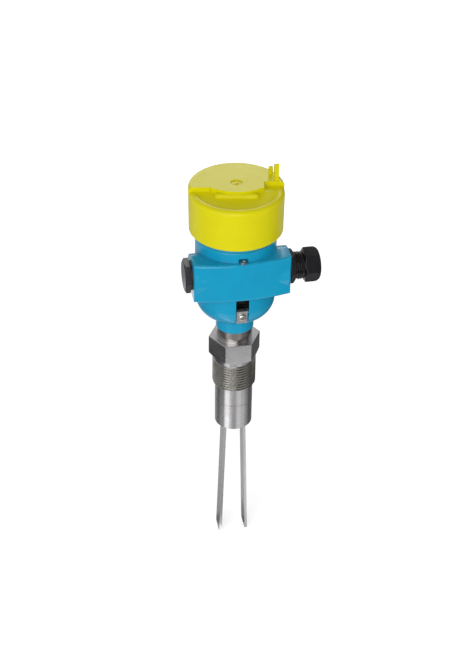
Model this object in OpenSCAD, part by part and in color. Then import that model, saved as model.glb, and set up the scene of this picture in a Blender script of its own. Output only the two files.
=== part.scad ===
// Vibrating fork level switch for a tank wall: a cast housing with a screw cover and two cable
// entries on a threaded process fitting, with the fork welded below it and the drive inside.
// The fork's axis is Z, and the origin lies on it at the upper end of the process thread.
// The housing's front looks along -Y, and the cable gland points along +X.

/* [Process fitting] */
// Outside diameter of the process thread
thread_d = 33.25; // [32:0.25:34]
// Length of the process thread
thread_len = 22.7; // [16:0.1:30]
// Chamfer at the lower end of the thread
thread_chamfer = 1.6; // [0.8:0.1:2]
// Diameter of the plain relief above the thread
relief_d = 31.2; // [30:0.2:32]
// Height of the relief
relief_len = 4.5; // [2:0.5:8]
// Wrench size across the flats of the hexagon
hex_af = 34; // [34:1:40]
// Height of the hexagon
hex_h = 16.6; // [12:0.1:24]
// Diameter of the polished collar above the hexagon
collar_d = 26.8; // [26:0.2:28]
// Height of the collar
collar_h = 9.3; // [6:0.1:16]
// Diameter of the spigot that enters the housing
spigot_d = 23; // [22.6:0.1:23.4]
// Bore through the fitting
fitting_bore_d = 18; // [17:0.5:18.5]

/* [Fork] */
// Diameter of the sleeve below the thread
sleeve_d = 29; // [27:0.5:30]
// Length of the sleeve from the thread to the fork's face
sleeve_len = 38.9; // [36:0.1:60]
// Part of the sleeve below the weld
head_len = 23.2; // [22:0.1:26]
// Edge chamfer around the fork's face
head_chamfer = 1.4; // [0.4:0.2:2]
// Thickness of the vibrating diaphragm
diaphragm_t = 2; // [1.5:0.1:3]
// Length of a tine
tine_len = 114.6; // [60:0.1:160]
// Width of a tine
tine_w = 14.5; // [8:0.5:16]
// Thickness of a tine
tine_t = 2; // [1.6:0.1:4]
// Clear gap between the roots of the tines
tine_gap = 13; // [10:0.2:15]
// Angle by which each tine leans outwards
tine_splay = 1.65; // [0:0.05:2]
// Rounding of the corners at the end of a tine
tine_round = 2.5; // [0.5:0.1:3.5]

/* [Housing] */
// Diameter of the housing's neck
neck_d = 28.4; // [28:0.2:32]
// Length of the neck
neck_len = 12.1; // [8:0.1:20]
// Diameter of the bowl and of the cup above it
bowl_d = 58.8; // [58:0.2:60]
// Rounding at the bottom of the bowl
bowl_round = 15.5; // [14.6:0.1:15.6]
// Wall of the cup
cup_wall = 4; // [3.6:0.1:4.2]
// Thickness of the bowl's floor
floor_t = 4; // [3:0.5:5]
// Diameter of the well under the electronics
well_d = 40; // [39:0.5:41]
// Height of the cross arm above the bottom of the bowl
arm_rise = 28.5; // [28:0.25:34]
// Half the length of the cross arm
arm_half = 35; // [34:0.2:40]
// Height of the cross arm
arm_h = 31; // [29:0.5:34]
// Distance from the fork's axis to the arm's front edge at its ends
arm_front = 28; // [27:0.5:30]
// How far the front of the arm bows out
arm_bow = 4.5; // [3:0.5:6]
// Rounding of the arm's front edges
arm_round = 2; // [0.8:0.2:3]
// Distance from the fork's axis to the cable entries, towards the front
entry_offset = 15; // [13:0.5:16]
// Diameter of the threaded holes for the cable entries
entry_d = 18.8; // [18:0.2:19]

/* [Cover] */
// Outside diameter of the cover
cover_d = 67.4; // [66:0.2:72]
// How much wider the cover is at its top
cover_draft = 0.6; // [0:0.1:1.2]
// Height of the cover
cover_h = 34.65; // [32:0.05:40]
// Height of the open collar between the arm and the cover
cover_gap = 11.5; // [9:0.25:16]
// Rounding of the cover's upper edge
cover_round = 2.6; // [1:0.1:3]
// Rounding of the front rim's outer edge
rim_round = 3.4; // [1:0.1:3.5]
// How far the raised part of the top stands above the front rim
plateau_rise = 3.35; // [2:0.05:6]
// Depth of the sloping grip pocket behind the front rim
pocket_depth = 4.15; // [2:0.05:6]
// Width of the rim in front of the grip pocket
rim_w = 4; // [3.8:0.1:6]
// Thickness of the cover's wall under the grip pocket
cover_web = 2.6; // [2:0.1:3]
// Turn of the cover at rest from the housing's front
cover_index = -10; // [-20:1:20]
// Height of the taller lug on the cover
lug_h = 12.7; // [6:0.1:14]
// Thickness of the cover's gasket
gasket_t = 2; // [1.5:0.1:2.5]

/* [Cable entries] */
// Wrench size of the gland nut, the gland's flange and the blanking plug
gland_af = 22; // [21.6:0.2:24]
// Length of the gland nut
gland_nut_len = 11.8; // [11:0.2:16]
// Bore of the rubber seal for the cable
cable_d = 10.5; // [9:0.5:11]
// Thickness of the hexagon on the blanking plug
plug_head_t = 4.2; // [3:0.2:6]

/* [Hidden] */
$fn = 96;

// Clearances between pieces
slip = 0.15;       // pieces that stay put
run = 0.35;        // pieces that turn or slide
seat = 0.1;        // faces that press on a soft ring
cut = 1;           // how far a cutter runs past a face

// Small steps and roundings of the housing
mouth_step = 1;
shoulder_drop = 4;
throat_round = 2;

// Levels along the fork's axis
hex_z = relief_len;
collar_z = hex_z + hex_h;
neck_z = collar_z + collar_h;
bowl_z = neck_z + neck_len;
well_z = bowl_z + floor_t;
arm_z = bowl_z + arm_rise;
entry_z = arm_z + arm_h / 2;
ledge_z = arm_z + arm_h;
cover_z = ledge_z + cover_gap;
cover_top = cover_z + cover_h;
shoulder_z = cover_z - shoulder_drop;
rim_top = cover_top - plateau_rise;
pocket_z = rim_top - pocket_depth;
ceiling_z = pocket_z - cover_web;
mouth_z = ceiling_z - gasket_t - 2 * seat;
insert_z = arm_z;
sleeve_z = -thread_len;
face_z = sleeve_z - sleeve_len;
weld_z = face_z + head_len;
drive_z = face_z + diaphragm_t;

// Radii worked out from the sizes above
cup_r = bowl_d / 2;
cavity_r = cup_r - cup_wall;
mouth_r = cup_r - mouth_step;
cover_r = cover_d / 2;
cover_bore_r = cup_r + run;
neck_bore_r = spigot_d / 2 + slip;
bow_r = (arm_half * arm_half + arm_bow * arm_bow) / (2 * arm_bow);
bow_y = bow_r - arm_front - arm_bow;
front_y = arm_front + arm_bow;

// Angle at which the arm's rounded upright edges meet its faces
corner_bite = 14;

// Step at the casting's parting line, where the arm's round back begins
parting_step = 0.2;

// Outside radius of the cover at a level
function cover_r_at(z) = cover_r + cover_draft / 2 * (z - cover_z) / cover_h;

// Cover's top, seen from above with the grip pocket to the front
cover_edge = 0.8;
bulge_apex = 10.8;
bulge_r = 29;
ear_x = 18.5;
ear_y = 4.7;
step_x = 19.3;
step_y = 4.3;
pocket_back = 4;
bar_r = 2.6;
bar_half = 15.6;
bar_y = 9.8;
pocket_fall = atan(pocket_depth / (cover_r - rim_w - pocket_back));
dimple_d = 8.4;
dimple_core_d = 2.8;
dimple_depth = 0.8;
dimple_y = 2.8;
lug_w = 2.6;
lug_lens = [3.2, 2.2];
lug_inset = 5.1;
lug_angles = [13, 32];
lug_shares = [1, 0.5];

// Lock screw on the ledge
lock_y = cup_r;
lock_shank_r = 1.9;
lock_head_r = 2.5;
lock_head_h = 1.6;
lock_len = 8;
lock_socket_r = 1.2;
lock_room = 1;
lock_notch_r = lock_head_r + lock_room;
lock_notch_h = 3;
lock_spot = 0.4;
lock_z = ledge_z - lock_spot;

// Trimmed ends of the hexagons
corner_play = 0.01;
face_inset = 0.3;

// Rounded heads and driver slots of the small screws
head_round_share = 0.6;
slot_w = 0.7;
slot_depth = 0.9;

// Earth terminal in the front of the bowl
earth_half = 4.7;
earth_y = 26;
earth_drop = 16.2;
earth_top = 1;
earth_slot_half = 4.2;
earth_slot_y = 22.5;
clamp_half = 4;
clamp_t = 1.4;
clamp_h = 11.4;
clamp_lip = 3.4;
earth_washer_t = 0.7;
earth_head_r = 2.7;
earth_head_h = 2;
earth_shank_r = 1.45;
earth_depth = 4.4;
earth_z = arm_z - earth_drop;
earth_slot_z = earth_z + clamp_h / 2 + slip;

// Cable entries
shank_len = 9;
shank_r = entry_d / 2 - slip;
gland_washer_t = 1;
gland_flange_t = 3.5;
gland_bore_room = 1.15;
gland_neck_inset = 1.6;
gland_bore_r = cable_d / 2 + gland_bore_room;
gland_neck_r = gland_af / 2 - gland_neck_inset;
gland_neck_len = 11.6;
gland_show = 6.8;
gland_seal_wall = 2.4;
gland_seal_r = cable_d / 2 + gland_seal_wall;
gland_seal_len = 8.4;
gland_seal_proud = 1.8;
gland_round = 4.2;
gland_washer_inset = 0.2;
plug_washer_t = 1.4;
plug_washer_inset = 0.4;
plug_wall = 2.4;
flange_z = gland_washer_t;
gland_neck_z = flange_z + gland_flange_t;
gland_nut_z = gland_neck_z + gland_show;
gland_neck_end = gland_neck_z + gland_neck_len;
gland_seal_z = gland_neck_end - gland_seal_len + gland_seal_proud;

// Spigot's nut and ring
spigot_nut_af = 30;
spigot_nut_h = 5;
spigot_over = 2;
ring_share = 0.41;
ring_r = 0.8;
ring_z = neck_z + neck_len * ring_share;
ring_groove_r = neck_bore_r - 2 * ring_r - 2 * seat;
spigot_top = well_z + spigot_nut_h + spigot_over;

// Drive stack on the diaphragm
stud_r = 2;
stud_room = 0.4;
stud_over = 1.5;
disc_room = 1.5;
wire_room = 0.9;
disc_bore_r = stud_r + stud_room;
disc_r = fitting_bore_d / 2 - disc_room;
disc_t = 2;
insulator_t = 2;
electrode_t = 0.3;
disc_count = 3;
tab_half = 0.9;
drive_nut_af = 7;
drive_nut_h = 4;
stack_z = drive_z + insulator_t;
disc_pitch = disc_t + electrode_t;
stack_top = stack_z + disc_count * disc_pitch - electrode_t;
drive_nut_z = stack_top + insulator_t;
stud_top = drive_nut_z + drive_nut_h + stud_over;
wire_r = 0.45;
wire_x = fitting_bore_d / 2 - wire_room;
tab_reach = wire_x + wire_r;

// Electronics
insert_room = 0.4;
insert_r = cavity_r - insert_room;
insert_base_h = 5.2;
tower_y = 1;
tower_z = insert_z + insert_base_h;
tower_h = 34.5;
tower_top = tower_z + tower_h;
lead_plug_h = 5;
lead_plug_half = [10.5, 3];
screw_ring_r = (cavity_r + well_d / 2) / 2;
screw_angles = [-132, -48];
screw_shank_r = 1.3;
screw_head_r = 2.3;
screw_head_h = 1.8;
screw_depth = 6;
block_half = 14;
block_y = [3.5, 12];
block_h = 9;
pole_count = 5;
pole_pitch = 5.4;
pole_screw_r = 1.7;
pole_screw_h = 2.4;
pole_slot = [3.6, 4];
pole_slot_share = 0.6;
switch_at = [-9, 17];
switch_size = [8.4, 5, 3.2];
slider_size = [2.2, 1.9, 3.4];
slider_travel = 3;
switch_floor = 1.2;
trimmer_at = [9, 17];
trimmer_size = [7, 6, 3.4];
rotor_r = 2.2;
rotor_h = 2.6;
lamp_at = [0, 17.5];
lamp_r = 1.5;
lamp_h = 2.2;

// Paint and materials
blue_paint = [0.12, 0.58, 0.76];
yellow_plastic = [0.88, 0.85, 0.05];
black_plastic = [0.07, 0.07, 0.08];
grey_plastic = [0.22, 0.22, 0.25];
steel = [0.68, 0.68, 0.7];
brass = [0.78, 0.64, 0.3];
ceramic_white = [0.92, 0.9, 0.86];
rubber = [0.05, 0.05, 0.05];
piezo_grey = [0.6, 0.55, 0.45];
wire_red = [0.7, 0.1, 0.1];
terminal_green = [0.25, 0.45, 0.3];
slider_white = [0.9, 0.9, 0.9];
trimmer_blue = [0.15, 0.3, 0.6];
lamp_red = [0.8, 0.1, 0.1];

// Ring of rectangular section
module ring(outer, inner, h) {
    difference() {
        cylinder(r = outer, h = h);
        translate([0, 0, -cut]) cylinder(r = inner, h = h + 2 * cut);
    }
}

// Hexagonal prism with a flat towards +Y and -Y
module hex_prism(af, h) {
    cylinder(r = af / 2 / cos(30), h = h, $fn = 6);
}

// Turned body that trims the corners of a hexagon at one or both ends
module corner_trim(af, h, low, high) {
    corner = af / 2 / cos(30) + corner_play;
    face = af / 2 - face_inset;
    drop = (corner - face) * tan(30);
    rotate_extrude() polygon([
        [0, 0],
        [low ? face : corner, 0],
        [corner, low ? drop : 0],
        [corner, high ? h - drop : h],
        [high ? face : corner, h],
        [0, h]]);
}

// Places what belongs to the right or the left cable entry, with local Z pointing outwards
module at_entry(side) {
    translate([side * arm_half, -entry_offset, entry_z]) rotate([0, side * 90, 0]) children();
}

// Places what lies in the earth terminal, with local Z pointing to the front
module at_earth() {
    translate([0, -earth_y, earth_z]) rotate([90, 0, 0]) children();
}

// Outside of the neck, the bowl, the cup and the mouth as one turned shape
module cup_profile() {
    bend_r = cup_r - bowl_round;
    bend_z = bowl_z + bowl_round;
    throat_x = neck_d / 2 + throat_round;
    throat_z = bend_z - sqrt(pow(bowl_round + throat_round, 2) - pow(throat_x - bend_r, 2));
    translate([0, neck_z]) square([neck_d / 2, neck_len]);
    difference() {
        polygon([[0, throat_z], [throat_x, throat_z], [bend_r, bend_z], [0, bend_z]]);
        translate([throat_x, throat_z]) circle(r = throat_round);
    }
    intersection() {
        translate([bend_r, bend_z]) circle(r = bowl_round);
        translate([0, bowl_z]) square([cup_r, bowl_round]);
    }
    translate([0, bowl_z]) square([bend_r, bowl_round]);
    translate([0, bend_z]) square([cup_r, shoulder_z - mouth_step - bend_z]);
    translate([0, bend_z]) square([mouth_r, mouth_z - bend_z]);
    translate([mouth_r, shoulder_z - mouth_step]) intersection() {
        circle(r = mouth_step);
        square(mouth_step);
    }
}

// Cross arm: a bowed front with rounded edges and a round back about the cable entries
module cross_arm() {
    depth = front_y - entry_offset;
    span = 2 * asin((arm_half + cut) / (bow_r - depth - cut));
    difference() {
        union() {
            intersection() {
                translate([0, bow_y, arm_z]) rotate([0, 0, -90 - span / 2])
                    rotate_extrude(angle = span, $fn = 240) arm_section(depth);
                translate([-arm_half, -front_y - cut, arm_z - cut])
                    cube([2 * arm_half, depth + cut, arm_h + 2 * cut]);
            }
            translate([-arm_half, -entry_offset, entry_z]) rotate([0, 90, 0])
                cylinder(r = arm_h / 2 - parting_step, h = 2 * arm_half);
        }
        for (side = [-1, 1]) arm_corner(side);
    }
}

// Section of the arm's front, with its outer edges rounded
module arm_section(depth) {
    translate([bow_r - depth - cut, 0]) square([depth + cut - arm_round, arm_h]);
    translate([bow_r - arm_round, arm_round]) square([arm_round, arm_h - 2 * arm_round]);
    for (level = [arm_round, arm_h - arm_round])
        translate([bow_r - arm_round, level]) circle(r = arm_round);
}

// Cutter that rounds the upright edge between the arm's front and one of its ends
module arm_corner(side) {
    inset = arm_round * cos(corner_bite);
    centre_x = arm_half - inset;
    centre_y = bow_y - sqrt(pow(bow_r - inset, 2) - centre_x * centre_x);
    lean = atan2(centre_x, bow_y - centre_y);
    reach = 4 * arm_round;
    translate([0, 0, arm_z - cut]) linear_extrude(arm_h + 2 * cut) scale([side, 1]) difference() {
        translate([centre_x, centre_y])
            polygon([[0, 0], [reach, 0], [reach, -reach], [reach * sin(lean), -reach * cos(lean)]]);
        translate([centre_x, centre_y]) circle(r = arm_round);
    }
}

// Cast housing
module housing() color(blue_paint) difference() {
    union() {
        rotate_extrude() cup_profile();
        cross_arm();
    }
    translate([0, 0, insert_z]) cylinder(r = cavity_r, h = mouth_z);
    translate([0, 0, well_z]) cylinder(r = well_d / 2, h = insert_z);
    translate([0, 0, neck_z - cut]) cylinder(r = neck_bore_r, h = neck_len + floor_t + 2 * cut);
    translate([-arm_half - cut, -entry_offset, entry_z]) rotate([0, 90, 0])
        cylinder(r = entry_d / 2, h = 2 * arm_half + 2 * cut);
    translate([0, -lock_y, lock_z - lock_len - slip])
        cylinder(r = lock_shank_r + slip, h = lock_len + cut);
    translate([0, -lock_y, lock_z]) cylinder(r = lock_notch_r, h = lock_spot + lock_notch_h);
    translate([-earth_half, -cup_r - cut, bowl_z - cut])
        cube([2 * earth_half, cup_r + cut - earth_y, arm_z - earth_top - bowl_z + cut]);
    translate([-earth_slot_half, -earth_y - cut, earth_slot_z])
        cube([2 * earth_slot_half, earth_y + cut - earth_slot_y, arm_z - earth_top - earth_slot_z]);
    at_earth() translate([0, 0, -earth_depth - slip])
        cylinder(r = earth_shank_r + slip, h = earth_depth + cut);
    for (a = screw_angles) rotate([0, 0, a]) translate([screw_ring_r, 0, insert_z - screw_depth - slip])
        cylinder(r = screw_shank_r + slip, h = screw_depth + cut);
}

// Outline of the raised part of the cover's top
module plateau_outline() {
    intersection() {
        circle(r = cover_r + cut);
        union() {
            translate([-cover_r - cut, step_y]) square([2 * cover_r + 2 * cut, cover_r]);
            translate([-cover_r - cut, 0]) square([cover_r + cut + step_x, step_y + cut]);
            translate([-cover_r - cut, -ear_y]) square([cover_r + cut - ear_x, ear_y + cut]);
            intersection() {
                translate([0, bulge_r - bulge_apex]) circle(r = bulge_r);
                translate([-cover_r, -cover_r]) square([cover_r + step_x, cover_r + step_y]);
            }
        }
    }
}

// Cutter for the grip pocket, whose floor slopes down to the front rim
module grip_pocket() {
    intersection() {
        linear_extrude(cover_top + cut) difference() {
            circle(r = cover_r - rim_w);
            plateau_outline();
        }
        translate([0, -pocket_back, rim_top]) rotate([pocket_fall, 0, 0])
            translate([-cover_r, -2 * cover_r, 0]) cube([2 * cover_r, 2 * cover_r + cut, cover_h]);
    }
}

// Turned outside of the cover up to a given level, with its upper edge rounded
module cover_round_body(top, edge_r) {
    bend_z = top - edge_r;
    bend_r = cover_r_at(bend_z) - edge_r;
    rotate_extrude() {
        polygon([
            [0, cover_z],
            [cover_r - cover_edge, cover_z],
            [cover_r_at(cover_z + cover_edge), cover_z + cover_edge],
            [cover_r_at(bend_z), bend_z],
            [0, bend_z]]);
        translate([0, cover_z]) square([bend_r, top - cover_z]);
        translate([bend_r, bend_z]) circle(r = edge_r);
    }
}

// Upright lug with a rounded top
module cover_lug(h, len) {
    rotate([90, 0, 90]) translate([0, 0, -len / 2]) linear_extrude(len) {
        translate([-lug_w / 2, -cover_round]) square([lug_w, h + cover_round - lug_w / 2]);
        translate([0, h - lug_w / 2]) circle(r = lug_w / 2);
    }
}

// Round grip bar with rounded ends, half sunk in the pocket's floor
module grip_bar() {
    floor_z = rim_top - (bar_y - pocket_back) * tan(pocket_fall);
    translate([0, -bar_y, floor_z]) rotate([0, 90, 0]) {
        translate([0, 0, bar_r - bar_half]) cylinder(r = bar_r, h = 2 * (bar_half - bar_r));
        for (end = [-1, 1]) translate([0, 0, end * (bar_half - bar_r)]) sphere(r = bar_r);
    }
}

// Screw cover with its grip pocket, lugs and hollow inside
module cover() color(yellow_plastic) rotate([0, 0, cover_index]) difference() {
    union() {
        difference() {
            union() {
                cover_round_body(rim_top, rim_round);
                intersection() {
                    cover_round_body(cover_top, cover_round);
                    linear_extrude(cover_top + cut) plateau_outline();
                }
            }
            grip_pocket();
        }
        grip_bar();
        for (i = [0, 1]) rotate([0, 0, lug_angles[i]])
            translate([cover_r - lug_inset, 0, cover_top]) cover_lug(lug_h * lug_shares[i], lug_lens[i]);
    }
    translate([0, 0, cover_z - cut]) cylinder(r = cover_bore_r, h = ceiling_z - cover_z + cut);
    intersection() {
        translate([0, 0, ceiling_z - cut])
            cylinder(r = mouth_r - 2 * cup_wall, h = cover_top - cover_web - ceiling_z + cut);
        translate([-cover_r, step_y + cover_web, ceiling_z - cut]) cube([2 * cover_r, cover_r, cover_h]);
    }
    translate([0, dimple_y, cover_top - dimple_depth]) ring(dimple_d / 2, dimple_core_d / 2, cut);
}

// Flat gasket between the housing's mouth and the cover
module cover_seal() color(rubber) translate([0, 0, mouth_z + seat])
    ring(mouth_r - seat, cavity_r + seat, gasket_t);

// Screw that locks the cover, with its head on the ledge
module lock_screw() color(steel) translate([0, -lock_y, lock_z]) difference() {
    union() {
        translate([0, 0, -lock_len]) cylinder(r = lock_shank_r, h = lock_len);
        cylinder(r = lock_head_r, h = lock_head_h);
    }
    translate([0, 0, lock_head_h / 2]) cylinder(r = lock_socket_r, h = lock_head_h, $fn = 6);
}

// Hexagonal plug in the unused cable entry
module blanking_plug() color(grey_plastic) at_entry(-1) difference() {
    union() {
        translate([0, 0, -shank_len]) cylinder(r = shank_r, h = shank_len + plug_washer_t);
        translate([0, 0, plug_washer_t]) intersection() {
            rotate(30) hex_prism(gland_af, plug_head_t);
            corner_trim(gland_af, plug_head_t, false, true);
        }
    }
    translate([0, 0, -shank_len - cut]) cylinder(r = shank_r - plug_wall, h = shank_len + cut);
}

// Flat washer under the blanking plug
module plug_washer() color(rubber) at_entry(-1)
    ring(gland_af / 2 - plug_washer_inset, shank_r + slip, plug_washer_t);

// Body of the cable gland, screwed into the housing
module gland_body() color(black_plastic) at_entry(1) difference() {
    union() {
        translate([0, 0, -shank_len]) cylinder(r = shank_r, h = shank_len + gland_neck_z);
        translate([0, 0, flange_z]) intersection() {
            rotate(30) hex_prism(gland_af, gland_flange_t);
            corner_trim(gland_af, gland_flange_t, false, true);
        }
        translate([0, 0, flange_z]) cylinder(r = gland_neck_r, h = gland_flange_t + gland_neck_len);
    }
    translate([0, 0, -shank_len - cut])
        cylinder(r = gland_bore_r, h = shank_len + gland_neck_end + 2 * cut);
    translate([0, 0, gland_seal_z - seat]) cylinder(r = gland_seal_r + seat, h = gland_seal_len + cut);
}

// Sealing washer under the gland's flange
module gland_washer() color(rubber) at_entry(1)
    ring(gland_af / 2 - gland_washer_inset, shank_r + slip, gland_washer_t);

// Rubber seal that closes on the cable
module gland_seal() color(rubber) at_entry(1) translate([0, 0, gland_seal_z])
    ring(gland_seal_r, cable_d / 2, gland_seal_len);

// Domed nut that squeezes the seal
module gland_nut() color(black_plastic) at_entry(1) difference() {
    translate([0, 0, gland_nut_z]) intersection() {
        rotate(30) hex_prism(gland_af, gland_nut_len);
        union() {
            corner_trim(gland_af, gland_nut_len - gland_round, true, false);
            translate([0, 0, gland_nut_len - gland_round]) gland_dome();
        }
    }
    translate([0, 0, gland_nut_z - cut])
        cylinder(r = gland_neck_r + run, h = gland_neck_end + run - gland_nut_z + cut);
    cylinder(r = gland_seal_r + run, h = gland_seal_z + gland_seal_len + run);
    cylinder(r = gland_bore_r, h = gland_nut_z + gland_nut_len + cut);
}

// Rounded outer end of the gland nut
module gland_dome() {
    corner = gland_af / 2 / cos(30);
    rotate_extrude() {
        square([corner - gland_round, gland_round]);
        intersection() {
            translate([corner - gland_round, 0]) circle(r = gland_round);
            square([corner, gland_round]);
        }
    }
}

// Bent plate that clamps the earth wire
module ground_clamp() color(steel) at_earth() difference() {
    union() {
        translate([-clamp_half, -clamp_h / 2, 0]) cube([2 * clamp_half, clamp_h, clamp_t]);
        translate([-clamp_half, clamp_h / 2 - clamp_t, 0]) cube([2 * clamp_half, clamp_t, clamp_lip]);
    }
    translate([0, 0, -cut]) cylinder(r = earth_shank_r + slip, h = clamp_t + 2 * cut);
}

// Washer under the head of the earth screw
module ground_washer() color(steel) at_earth() translate([0, 0, clamp_t])
    ring(earth_head_r, earth_shank_r + slip, earth_washer_t);

// Slotted pan-head screw of the earth terminal
module ground_screw() color(steel) at_earth() difference() {
    union() {
        translate([0, 0, -earth_depth])
            cylinder(r = earth_shank_r, h = earth_depth + clamp_t + earth_washer_t);
        translate([0, 0, clamp_t + earth_washer_t]) pan_head(earth_head_r, earth_head_h);
    }
    translate([-earth_head_r - cut, -slot_w / 2, clamp_t + earth_washer_t + earth_head_h - slot_depth])
        cube([2 * earth_head_r + 2 * cut, slot_w, earth_head_h]);
}

// Screw head with a rounded rim
module pan_head(r, h) {
    edge = h * head_round_share;
    rotate_extrude() {
        square([r - edge, h]);
        square([r, h - edge]);
        intersection() {
            translate([r - edge, h - edge]) circle(r = edge);
            square([r, h]);
        }
    }
}

// Turned process fitting: spigot, collar, hexagon, relief, thread and the upper half of the sleeve
module process_fitting() color(steel) difference() {
    union() {
        translate([0, 0, neck_z]) cylinder(r = spigot_d / 2, h = spigot_top - neck_z);
        translate([0, 0, collar_z]) cylinder(r = collar_d / 2, h = collar_h);
        translate([0, 0, hex_z]) intersection() {
            hex_prism(hex_af, hex_h);
            corner_trim(hex_af, hex_h, true, false);
        }
        cylinder(r = relief_d / 2, h = hex_z);
        translate([0, 0, sleeve_z]) process_thread();
        translate([0, 0, weld_z]) cylinder(r = sleeve_d / 2, h = -weld_z);
    }
    translate([0, 0, weld_z - cut]) cylinder(r = fitting_bore_d / 2, h = spigot_top + 2 * cut - weld_z);
    translate([0, 0, ring_z - ring_r - seat]) ring(spigot_d / 2 + cut, ring_groove_r, 2 * (ring_r + seat));
}

// Thread as a plain cylinder with a chamfered lower end
module process_thread() {
    r = thread_d / 2;
    rotate_extrude() polygon([
        [0, 0], [r - thread_chamfer, 0], [r, thread_chamfer], [r, thread_len], [0, thread_len]]);
}

// Fork: the lower half of the sleeve, the diaphragm and the two tines
module sensor_fork() color(steel) {
    r = sleeve_d / 2;
    difference() {
        translate([0, 0, face_z]) rotate_extrude() polygon([
            [0, 0], [r - head_chamfer, 0], [r, head_chamfer], [r, head_len], [0, head_len]]);
        translate([0, 0, drive_z]) cylinder(r = fitting_bore_d / 2, h = head_len);
    }
    for (side = [-1, 1]) tine(side);
}

// One tine with rounded corners, sunk into the diaphragm at its root
module tine(side) {
    root = diaphragm_t / 2;
    reach = tine_len + root;
    translate([side * (tine_gap + tine_t) / 2, 0, face_z + root]) rotate([0, -side * tine_splay, 0])
        rotate([90, 0, 90]) translate([0, 0, -tine_t / 2]) linear_extrude(tine_t) {
            translate([-tine_w / 2, tine_round - reach]) square([tine_w, reach - tine_round]);
            translate([tine_round - tine_w / 2, -reach]) square([tine_w - 2 * tine_round, reach]);
            for (edge = [-1, 1]) translate([edge * (tine_w / 2 - tine_round), tine_round - reach])
                circle(r = tine_round);
        }
}

// Rubber ring between the spigot and the neck
module neck_seal() color(rubber) translate([0, 0, ring_z]) rotate_extrude()
    translate([ring_groove_r + seat + ring_r, 0]) circle(r = ring_r);

// Nut that holds the housing on the spigot
module spigot_nut() color(brass) translate([0, 0, well_z]) difference() {
    intersection() {
        hex_prism(spigot_nut_af, spigot_nut_h);
        corner_trim(spigot_nut_af, spigot_nut_h, false, true);
    }
    translate([0, 0, -cut]) cylinder(r = spigot_d / 2 + slip, h = spigot_nut_h + 2 * cut);
}

// Stud that stands on the diaphragm and carries the drive
module drive_stud() color(steel) translate([0, 0, drive_z])
    cylinder(r = stud_r, h = stud_top - drive_z);

// Ceramic ring below the piezo discs
module lower_insulator() color(ceramic_white) translate([0, 0, drive_z])
    ring(disc_r, disc_bore_r, insulator_t);

// Piezo discs of the drive
module piezo_discs() color(piezo_grey)
    for (i = [0 : disc_count - 1]) translate([0, 0, stack_z + i * disc_pitch])
        ring(disc_r, disc_bore_r, disc_t);

// Contact discs between the piezo discs, with a tab on alternate sides
module electrodes() color(brass)
    for (i = [0 : disc_count - 2]) translate([0, 0, stack_z + i * disc_pitch + disc_t])
        rotate([0, 0, 180 * i]) difference() {
            union() {
                cylinder(r = disc_r, h = electrode_t);
                translate([0, -tab_half, 0]) cube([tab_reach, 2 * tab_half, electrode_t]);
            }
            translate([0, 0, -cut]) cylinder(r = disc_bore_r, h = electrode_t + 2 * cut);
        }

// Ceramic ring above the piezo discs
module upper_insulator() color(ceramic_white) translate([0, 0, stack_top])
    ring(disc_r, disc_bore_r, insulator_t);

// Nut that preloads the drive
module drive_nut() color(steel) translate([0, 0, drive_nut_z]) difference() {
    hex_prism(drive_nut_af, drive_nut_h);
    translate([0, 0, -cut]) cylinder(r = stud_r + slip, h = drive_nut_h + 2 * cut);
}

// Wires from the contact discs up to the plug
module lead_wires() color(wire_red) for (i = [0 : disc_count - 2]) rotate([0, 0, 180 * i]) {
    start = stack_z + i * disc_pitch + disc_t + electrode_t;
    translate([wire_x, 0, start]) cylinder(r = wire_r, h = insert_z - lead_plug_h - start, $fn = 24);
}

// Plug that takes the wires into the electronics
module lead_plug() color(black_plastic)
    translate([-lead_plug_half.x, -lead_plug_half.y, insert_z - lead_plug_h])
        cube([2 * lead_plug_half.x, 2 * lead_plug_half.y, lead_plug_h]);

// Potted electronics: a round base on the housing's shoulder and a tower behind the cable entries
module electronics_insert() color(black_plastic) difference() {
    union() {
        translate([0, 0, insert_z]) cylinder(r = insert_r, h = insert_base_h);
        intersection() {
            translate([0, 0, insert_z]) cylinder(r = insert_r, h = insert_base_h + tower_h);
            translate([-insert_r, tower_y, insert_z])
                cube([2 * insert_r, insert_r, insert_base_h + tower_h]);
        }
    }
    for (a = screw_angles) rotate([0, 0, a]) translate([screw_ring_r, 0, insert_z - cut])
        cylinder(r = screw_shank_r + slip, h = insert_base_h + 2 * cut);
}

// Screws that hold the electronics on the shoulder
module insert_screws() color(steel)
    for (a = screw_angles) rotate([0, 0, a]) translate([screw_ring_r, 0, tower_z]) {
        translate([0, 0, -insert_base_h - screw_depth])
            cylinder(r = screw_shank_r, h = insert_base_h + screw_depth);
        pan_head(screw_head_r, screw_head_h);
    }

// Places the wiring poles along the terminal block
module at_poles() {
    for (i = [0 : pole_count - 1])
        translate([(i - (pole_count - 1) / 2) * pole_pitch, 0, tower_top]) children();
}

// Terminal block on the tower, with a wire opening below each screw
module terminal_block() color(terminal_green) difference() {
    depth = block_y[1] - block_y[0];
    translate([-block_half, block_y[0], tower_top]) cube([2 * block_half, depth, block_h]);
    at_poles() {
        translate([0, (block_y[0] + block_y[1]) / 2, block_h - pole_screw_h - slip])
            cylinder(r = pole_screw_r + slip, h = pole_screw_h + cut);
        translate([-pole_slot[0] / 2, block_y[0] - cut, cut])
            cube([pole_slot[0], depth * pole_slot_share + cut, pole_slot[1]]);
    }
}

// Screws of the terminal block
module terminal_screws() color(steel) at_poles()
    translate([0, (block_y[0] + block_y[1]) / 2, block_h - pole_screw_h - slip]) difference() {
        cylinder(r = pole_screw_r, h = pole_screw_h);
        translate([-pole_screw_r - cut, -slot_w / 2, pole_screw_h - slot_depth])
            cube([2 * pole_screw_r + 2 * cut, slot_w, cut]);
    }

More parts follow.
